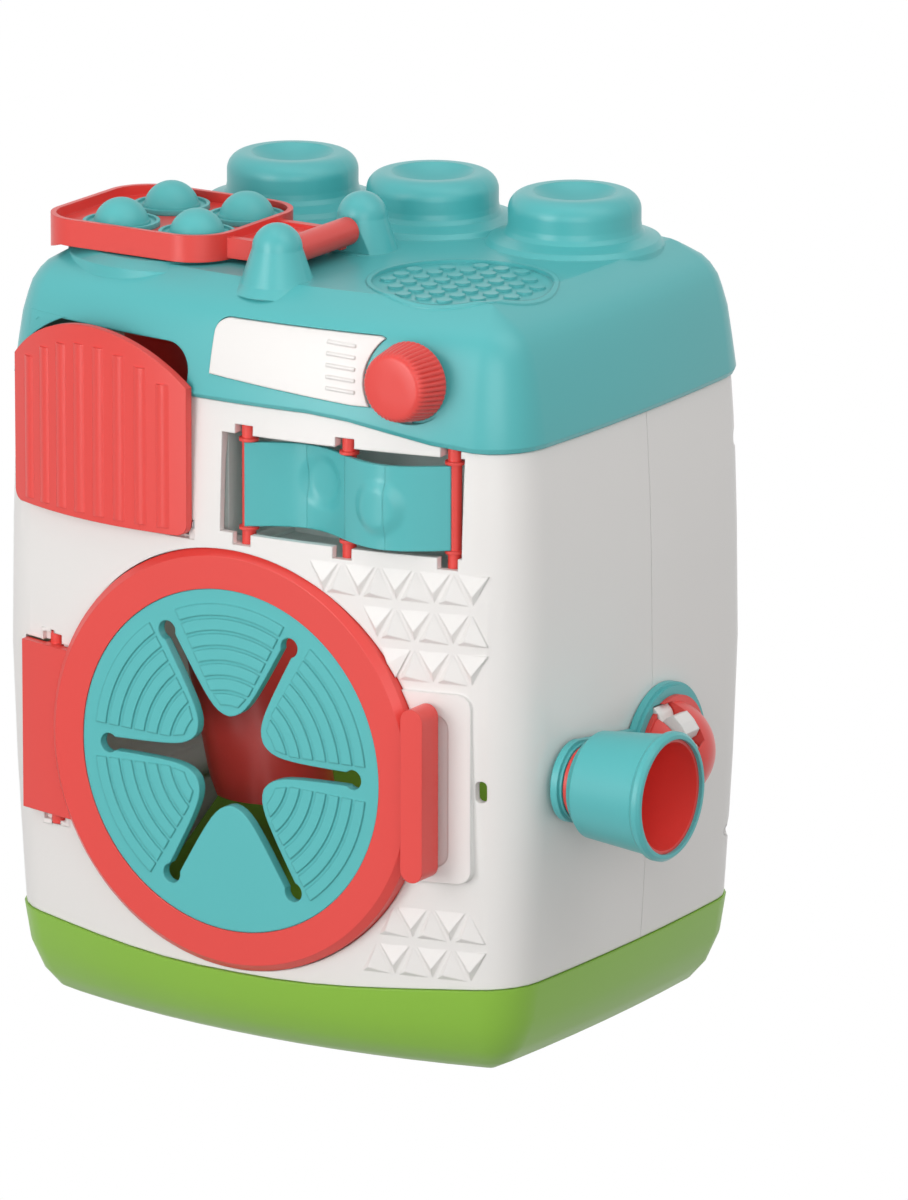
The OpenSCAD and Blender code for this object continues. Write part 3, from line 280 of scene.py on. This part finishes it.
def smooth(obj, levels, near=0.5, moved=()):
    """Give obj the formula's normals where its faces follow the formula's surface.

    A face counts when all its corners lie within near mm of the surface and the cosine
    between its own normal and the formula's is over SAME_WAY. A face with a moved corner
    keeps its own flat normal."""
    mesh = obj.data
    old = read(mesh.corner_normals, "vector", 3)
    corner = read(mesh.loops, "vertex_index", 1)[:, 0].astype(int)
    total = read(mesh.polygons, "loop_total", 1)[:, 0].astype(int)
    flat = read(mesh.polygons, "normal", 3)
    face = np.repeat(np.arange(len(total)), total)
    points = read(mesh.vertices, "co", 3) / MM - SHIFT
    changed = np.zeros(len(total), bool)
    changed[face[np.isin(corner, moved)]] = True
    old[changed[face]] = flat[face][changed[face]]
    off, normal = body_normals(points, levels)
    fits = (off[corner] < near) & ((normal[corner] * flat[face]).sum(1) > SAME_WAY)
    whole = (np.bincount(face, fits, len(total)) == total) & ~changed
    use = whole[face]
    old[use] = normal[corner][use]
    mesh.polygons.foreach_set("use_smooth", np.ones(len(total), bool))
    mesh.normals_split_custom_set(old)
    print(obj.name, "faces with exact normals", int(whole.sum()), "of", len(total))


for name, levels, near in (("rear_shell", SHELL, 0.5), ("top_cover", COVER, 0.5),
                           ("base_tray", TRAY, 0.5), ("label_plate", COVER, 1.2)):
    piece = fresh_copy(name)
    smooth(piece, levels, near)
    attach(piece, BODY_OF[name])
    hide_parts(name)

# %% [markdown]
# ## The small pillows on the front
# The CAD pillows are flat triangles. In the photograph each one rises from its far edge
# to one corner, like a fin. In the copy of the front shell the raised corner moves
# towards the middle and up, and the two other corners go down to the shell.

# %% Pillows as wedges
PILLOW_HALF, PILLOW_BASE, PILLOW_POINT, PILLOW_OUT = 4.8, 3.13, 6.27, 0.9
PILLOW_PITCH, DOWN_UP, UP_UP = 12, 7.44, 4.216
FIN_OUT, FIN_IN, FLUSH = 1.35, 0.5, 0.04
# Each row: x and z of its first star point, first and last downward pillow, then upward.
ROWS = [(45.3, 150.6, -1, 3, -1, 2), (51.3, 138.2, 0, 2, 0, 2), (57.3, 125.8, 0, 2, 0, 1),
        (61.4, 43.6, 0, 1, -1, 1), (55.4, 31.2, 0, 2, -1, 1)]
pillows = [(x + PILLOW_PITCH * k, z + DOWN_UP, -1)
           for x, z, a, b, c, d in ROWS for k in range(a, b + 1)]
pillows += [(x + PILLOW_PITCH * (k + 0.5), z + UP_UP, 1)
            for x, z, a, b, c, d in ROWS for k in range(c, d + 1)]
shell = fresh_copy("front_shell")
points = read(shell.data.vertices, "co", 3) / MM - SHIFT
height = np.array(SHELL)[:, 0]
inset = np.array(SHELL)[:, 3]
moved = []
for px, pz, way in pillows:
    d = np.interp(pz, height, inset)
    turn = math.asin(px / (FRONT_R - d))
    centre = np.array([px, FRONT_C - (FRONT_R - d) * math.cos(turn), pz])
    along = np.array([math.cos(turn), math.sin(turn), 0])
    out = np.array([math.sin(turn), -math.cos(turn), 0])
    local = (points - centre) @ np.stack([along, out, [0, 0, 1]], 1)
    corners = [(-PILLOW_HALF, -PILLOW_BASE * way), (PILLOW_HALF, -PILLOW_BASE * way),
               (0, PILLOW_POINT * way)]
    tip = 0 if way > 0 else 2
    for k, (cx, cz) in enumerate(corners):
        here = np.where((np.abs(local[:, 0] - cx) < 0.25) & (np.abs(local[:, 2] - cz) < 0.25)
                        & (np.abs(local[:, 1] - PILLOW_OUT) < 0.12))[0]
        if k == tip:
            new = np.array([cx * FIN_IN, FIN_OUT, cz * FIN_IN])
        else:
            sag = d - np.interp(pz + cz, height, inset) - cx**2 / 600
            new = np.array([cx, sag + FLUSH, cz])
        points[here] = centre + new[0] * along + new[1] * out + [0, 0, new[2]]
        moved.extend(here)
shell.data.vertices.foreach_set("co", to_frame(points).astype(np.float32).ravel())
shell.data.update()
smooth(shell, SHELL, moved=np.array(moved, int))
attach(shell, BODY_OF["front_shell"])
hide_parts("front_shell")
print("pillows", len(pillows), "corners moved", len(moved))

# %% [markdown]
# ## The wavy band
# The band in the window runs in one wave from rod to rod, with a round dimple in its left
# half and a round bump in its right half. Each half is made of two sheets.

# %% Band sheets
ROD_X, ROD_IN = [4.5, 39.3, 73.2], 5.4
BAND_Z, BAND_H, BAND_T, BAND_AHEAD, BAND_BOW = 181.3, 26.4, 1.6, 2.7, 7
DIMPLE, BUMP, DENT_DEEP, DENT_FLAT, DENT_EDGE = (28.3, 183.6), (53.5, 181), 1.5, 5, 4.5


def rod_y(x):
    """Front to back place of a rod: ROD_IN mm behind the front arc."""
    return FRONT_C - np.sqrt(FRONT_R**2 - np.square(x)) + ROD_IN


def solid(name, points, faces, material, sharp=40):
    """An object from points in mm and faces, smooth except across edges sharper than that."""
    mesh = bpy.data.meshes.new(name)
    mesh.from_pydata(to_frame(points).tolist(), [], faces)
    mesh.polygons.foreach_set("use_smooth", np.ones(len(faces), bool))
    mesh.set_sharp_from_angle(angle=math.radians(sharp))
    mesh.materials.append(material)
    obj = bpy.data.objects.new(name, mesh)
    bpy.context.collection.objects.link(obj)
    return obj


def sheet(name, front, rear, material, sharp=40):
    """A closed sheet between two grids of points in mm; seen from outside, columns run to
    the right and rows run down."""
    n, m = front.shape[:2]
    points = np.vstack([front.reshape(-1, 3), rear.reshape(-1, 3)])
    g = np.arange(n * m).reshape(n, m)
    face = np.stack([g[:-1, :-1], g[1:, :-1], g[1:, 1:], g[:-1, 1:]], -1).reshape(-1, 4)
    loop = np.concatenate([g[0, :-1], g[:-1, -1], g[-1, :0:-1], g[:0:-1, 0]])
    nxt = np.roll(loop, -1)
    rim = np.stack([loop, nxt, nxt + n * m, loop + n * m], -1)
    faces = np.vstack([face, face[:, ::-1] + n * m, rim]).tolist()
    return solid(name, points, faces, material, sharp)


def band(name, k, bow, t0, t1):
    """Part t0..t1 of the half from rod k to the next: y follows half a sine wave of that
    depth, plus a round dent near the half's middle, flat inside and eased at its edge."""
    xa, xb = ROD_X[k], ROD_X[k + 1]
    t = np.linspace(t0, t1, 30)[None, :]
    z = np.linspace(BAND_Z + BAND_H / 2, BAND_Z - BAND_H / 2, 34)[:, None]
    x = xa + (xb - xa) * t + 0 * z
    y = rod_y(xa) + (rod_y(xb) - rod_y(xa)) * t + bow * np.sin(math.pi * t) + 0 * z
    dent = DIMPLE if bow > 0 else BUMP
    away = np.hypot(x - dent[0], z - dent[1])
    y = y + np.sign(bow) * DENT_DEEP * (1 - ease((away - DENT_FLAT) / DENT_EDGE))
    z = z + 0 * x
    front = np.stack([x, y - BAND_AHEAD, z], -1)
    return sheet(name, front, front + [0, BAND_T, 0], TEAL)


for side, node, k, bow in (("left", "wave_band_left", 0, BAND_BOW),
                           ("right", "wave_band_right", 1, -BAND_BOW)):
    for part, t0, t1, rod in (("start", 0, 0.5, ROD_X[k]), ("end", 0.5, 1, ROD_X[k + 1])):
        piece = band(f"band_{side}_{part}", k, bow, t0, t1)
        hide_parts(node)
        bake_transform(piece)
print("band sheets reach", ROD_X[0], "to", ROD_X[-1], "mm")

# %% [markdown]
# ## Domes that pop
# Each dome's rim is held by the tray and its crown moves down when pressed. A copy of each
# dome takes its place in the picture, with its transform baked in.

# %% Domes
for letter in "abcd":
    name = "pop_dome_" + letter
    piece = fresh_copy(name)
    low, high = (np.array(corner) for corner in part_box(name))
    centre = (low + high) / 2
    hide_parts(name)
    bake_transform(piece)

# %% [markdown]
# ## The cover beside the drawer
# Left of the flap's arch the cover closes the corner between the arch and the drawer's
# opening. This sheet lies on the cover's own surface, found by moving each point front to
# back until the outline's inset there is the profile's.

# %% Cover corner
def on_body(x, z, levels, sink=0.0):
    """Front to back place, in mm, of the formula's surface at x and z on the front."""
    curve = profile(levels)
    y = FRONT_C - np.sqrt(FRONT_R**2 - x**2)
    for step in range(6):
        level = plain_level(x, y, z, curve)
        d, u, v = outline(x, y)
        y = y + (d - np.interp(level, curve[:, 0], curve[:, 3]) - sink) / v
    return y


FLAP_X, ARCH_Z, ARCH_R = -49.5, 173.6, 52.2
OPEN_LEFT, OPEN_MEETS, OPEN_TOP = -83.2, -66.6, 222.6
CORNER_SINK, CORNER_T = 0.06, 2
x = np.linspace(OPEN_LEFT, OPEN_MEETS, 24)[None, :]
share = np.linspace(0, 1, 12)[:, None]
arch = ARCH_Z + np.sqrt(ARCH_R**2 - (x - FLAP_X)**2)
z = OPEN_TOP + (np.minimum(arch, OPEN_TOP - 0.1) - OPEN_TOP) * share
x = x + 0 * share
face = np.stack([x, on_body(x, z, COVER, CORNER_SINK), z], -1)
corner_piece = sheet("cover_corner", face, face + [0, CORNER_T, 0], TEAL)
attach(corner_piece, BODY_OF["top_cover"])
print("cover corner", len(corner_piece.data.polygons), "faces")

# %% [markdown]
# ## The knob
# A turned shape: the radius changes along the axis from the shaft to the foot, the side,
# a small bevel and the face. Round the side a narrow groove repeats 44 times and runs at
# a slant; its depth fades out at the foot and at the bevel.

# %% Knob
KNOB_X, KNOB_Z = 60.5, 219.7
GROOVES, GROOVE_COLUMNS, SLANT_PER_MM = 44, 8, 0.35
# Each row: front to back place and radius; depth is the groove's depth in that row.
steps = np.array([[-58, 3.4], [-73.8, 3.4], [-73.9, 12.0], [-74.3, 12.3], [-75, 12.3],
                  [-76, 12.1], [-78, 11.8], [-80, 11.5], [-82, 11.2], [-83.6, 10.9],
                  [-84.4, 10.7], [-85.2, 10.1], [-85.7, 9.4], [-85.9, 8.6], [-85.9, 4]])
depth = np.array([0, 0, 0, .3, .55, .6, .6, .6, .6, .55, .45, .2, 0, 0, 0])
turn = np.linspace(0, 2 * math.pi, GROOVES * GROOVE_COLUMNS, endpoint=False)[None, :]
groove = (0.5 + 0.5 * np.cos(GROOVES * turn + SLANT_PER_MM * steps[:, :1]))**3
radius = steps[:, 1:] - depth[:, None] * groove
points = np.stack([KNOB_X + radius * np.cos(turn), steps[:, :1] + 0 * turn,
                   KNOB_Z + radius * np.sin(turn)], -1)
n, m = radius.shape
g = np.arange(n * m).reshape(n, m)
g = np.hstack([g, g[:, :1]])
side = np.stack([g[:-1, :-1], g[:-1, 1:], g[1:, 1:], g[1:, :-1]], -1).reshape(-1, 4).tolist()
caps = [g[0, :0:-1].tolist(), g[-1, :-1].tolist()]
knob = solid("knob_turned", points.reshape(-1, 3), side + caps, RED, sharp=50)
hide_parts("program_knob")
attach(knob, BODY_OF["program_knob"])
print("knob", GROOVES, "grooves, radius", radius.max())

# %% [markdown]
# ## The camera
# A long lens far away, as a catalogue photograph is taken. The azimuth is turned from the
# toy's front towards its right side; the lens makes 0.375 m fill the frame's height at the
# toy, and the small shift is the photograph's own framing.

# %% Camera
AZIMUTH, ELEVATION, DISTANCE = math.radians(32.58), math.radians(14.93), 3.581
back = Vector((math.sin(AZIMUTH) * math.cos(ELEVATION),
               -math.cos(AZIMUTH) * math.cos(ELEVATION), math.sin(ELEVATION)))
target = Vector(to_frame([0, 4, 120]))
camera = bpy.data.objects.new("camera", bpy.data.cameras.new("camera"))
SENSOR, SEEN, TALL = 36, 0.375, 1200
camera.data.lens = SENSOR * DISTANCE / SEEN
camera.data.sensor_width = SENSOR
camera.data.shift_x, camera.data.shift_y = 71.45 / TALL, 16 / TALL
camera.data.clip_end = 50
camera.location = target + back * DISTANCE
camera.rotation_mode = "QUATERNION"
camera.rotation_quaternion = (-back).to_track_quat("-Z", "Y")
bpy.context.collection.objects.link(camera)
bpy.context.scene.camera = camera
print("camera", round(DISTANCE, 3), "m away, lens", round(camera.data.lens), "mm")

# %% [markdown]
# ## The studio
# A large key lamp stands to the left, a narrow strip gives the soft upright highlight near
# the corner, and a side lamp lights the right side from above. The sweep is white to the
# camera and to mirrors, and a middle grey to the light, so that it doesn't fill the shade.
# A small lamp inside the drum lets its walls, the tube and the ramp be seen.

# %% Studio
scene = bpy.context.scene
scene.view_settings.view_transform = "Standard"


def lamp(name, azimuth, elevation, distance, size, power, tall=None):
    """An area lamp aimed at the toy's middle, seen from that azimuth and elevation."""
    light = bpy.data.lights.new(name, "AREA")
    light.energy, light.size = power, size
    if tall:
        light.shape, light.size_y = "RECTANGLE", tall
    obj = bpy.data.objects.new(name, light)
    a, e = math.radians(azimuth), math.radians(elevation)
    way = Vector((math.sin(a) * math.cos(e), -math.cos(a) * math.cos(e), math.sin(e)))
    obj.location = Vector((0, 0, 0.13)) + way * distance
    obj.rotation_mode = "QUATERNION"
    obj.rotation_quaternion = (-way).to_track_quat("-Z", "Y")
    bpy.context.collection.objects.link(obj)
    return obj


lamp("key", -16, 20, 1.6, 1.1, 3.8)
lamp("strip", -14, 2, 1.0, 0.26, 3.8, tall=0.9)
lamp("fill", 40, 12, 1.8, 1.0, 7.0)
lamp("side", 85, 52, 1.2, 0.8, 2.2)
lamp("top", 10, 85, 1.6, 1.4, 3.6)
inner = lamp("inner", 0, 0, 1.0, 0.05, 0.02)
inner.location = Vector(to_frame([30, -20, 160]))
inner.rotation_quaternion = Vector((-0.6, 0.25, -1)).to_track_quat("-Z", "Y")
inner.visible_camera = False

floor_mesh = bpy.data.meshes.new("floor")
floor_mesh.from_pydata([(-9, -9, 0), (9, -9, 0), (9, 9, 0), (-9, 9, 0)], [], [(0, 1, 2, 3)])
floor = bpy.data.objects.new("floor", floor_mesh)
bpy.context.collection.objects.link(floor)


def seen_white(tree):
    """1 where the camera, a mirror or clear plastic sees it: the three Light Path outputs added."""
    path = add(tree, "ShaderNodeLightPath")
    first, second = (add(tree, "ShaderNodeMath", operation="ADD", use_clamp=True) for k in (1, 2))
    tree.links.new(path.outputs["Is Camera Ray"], first.inputs[0])
    tree.links.new(path.outputs["Is Glossy Ray"], first.inputs[1])
    tree.links.new(first.outputs["Value"], second.inputs[0])
    tree.links.new(path.outputs["Is Transmission Ray"], second.inputs[1])
    return second.outputs["Value"]


paper = bpy.data.materials.new("white paper")
paper.use_nodes = True
tree = paper.node_tree
tree.nodes.clear()
out = add(tree, "ShaderNodeOutputMaterial")
mixed = add(tree, "ShaderNodeMixShader")
matt = add(tree, "ShaderNodeBsdfDiffuse", {"Color": (0.35, 0.35, 0.35, 1)})
plain = add(tree, "ShaderNodeEmission", {"Color": (1, 1, 1, 1), "Strength": 1.0})
tree.links.new(seen_white(tree), mixed.inputs["Fac"])
tree.links.new(matt.outputs["BSDF"], mixed.inputs[1])
tree.links.new(plain.outputs["Emission"], mixed.inputs[2])
tree.links.new(mixed.outputs["Shader"], out.inputs["Surface"])
floor_mesh.materials.append(paper)

world = bpy.data.worlds.new("studio")
scene.world = world
world.use_nodes = True
tree = world.node_tree
tree.nodes.clear()
out = add(tree, "ShaderNodeOutputWorld")
sky = add(tree, "ShaderNodeBackground", {"Color": (1, 1, 1, 1), "Strength": 0.45})
white = add(tree, "ShaderNodeBackground", {"Color": (1, 1, 1, 1), "Strength": 1.0})
mixed = add(tree, "ShaderNodeMixShader")
tree.links.new(seen_white(tree), mixed.inputs["Fac"])
tree.links.new(sky.outputs["Background"], mixed.inputs[1])
tree.links.new(white.outputs["Background"], mixed.inputs[2])
tree.links.new(mixed.outputs["Shader"], out.inputs["Surface"])
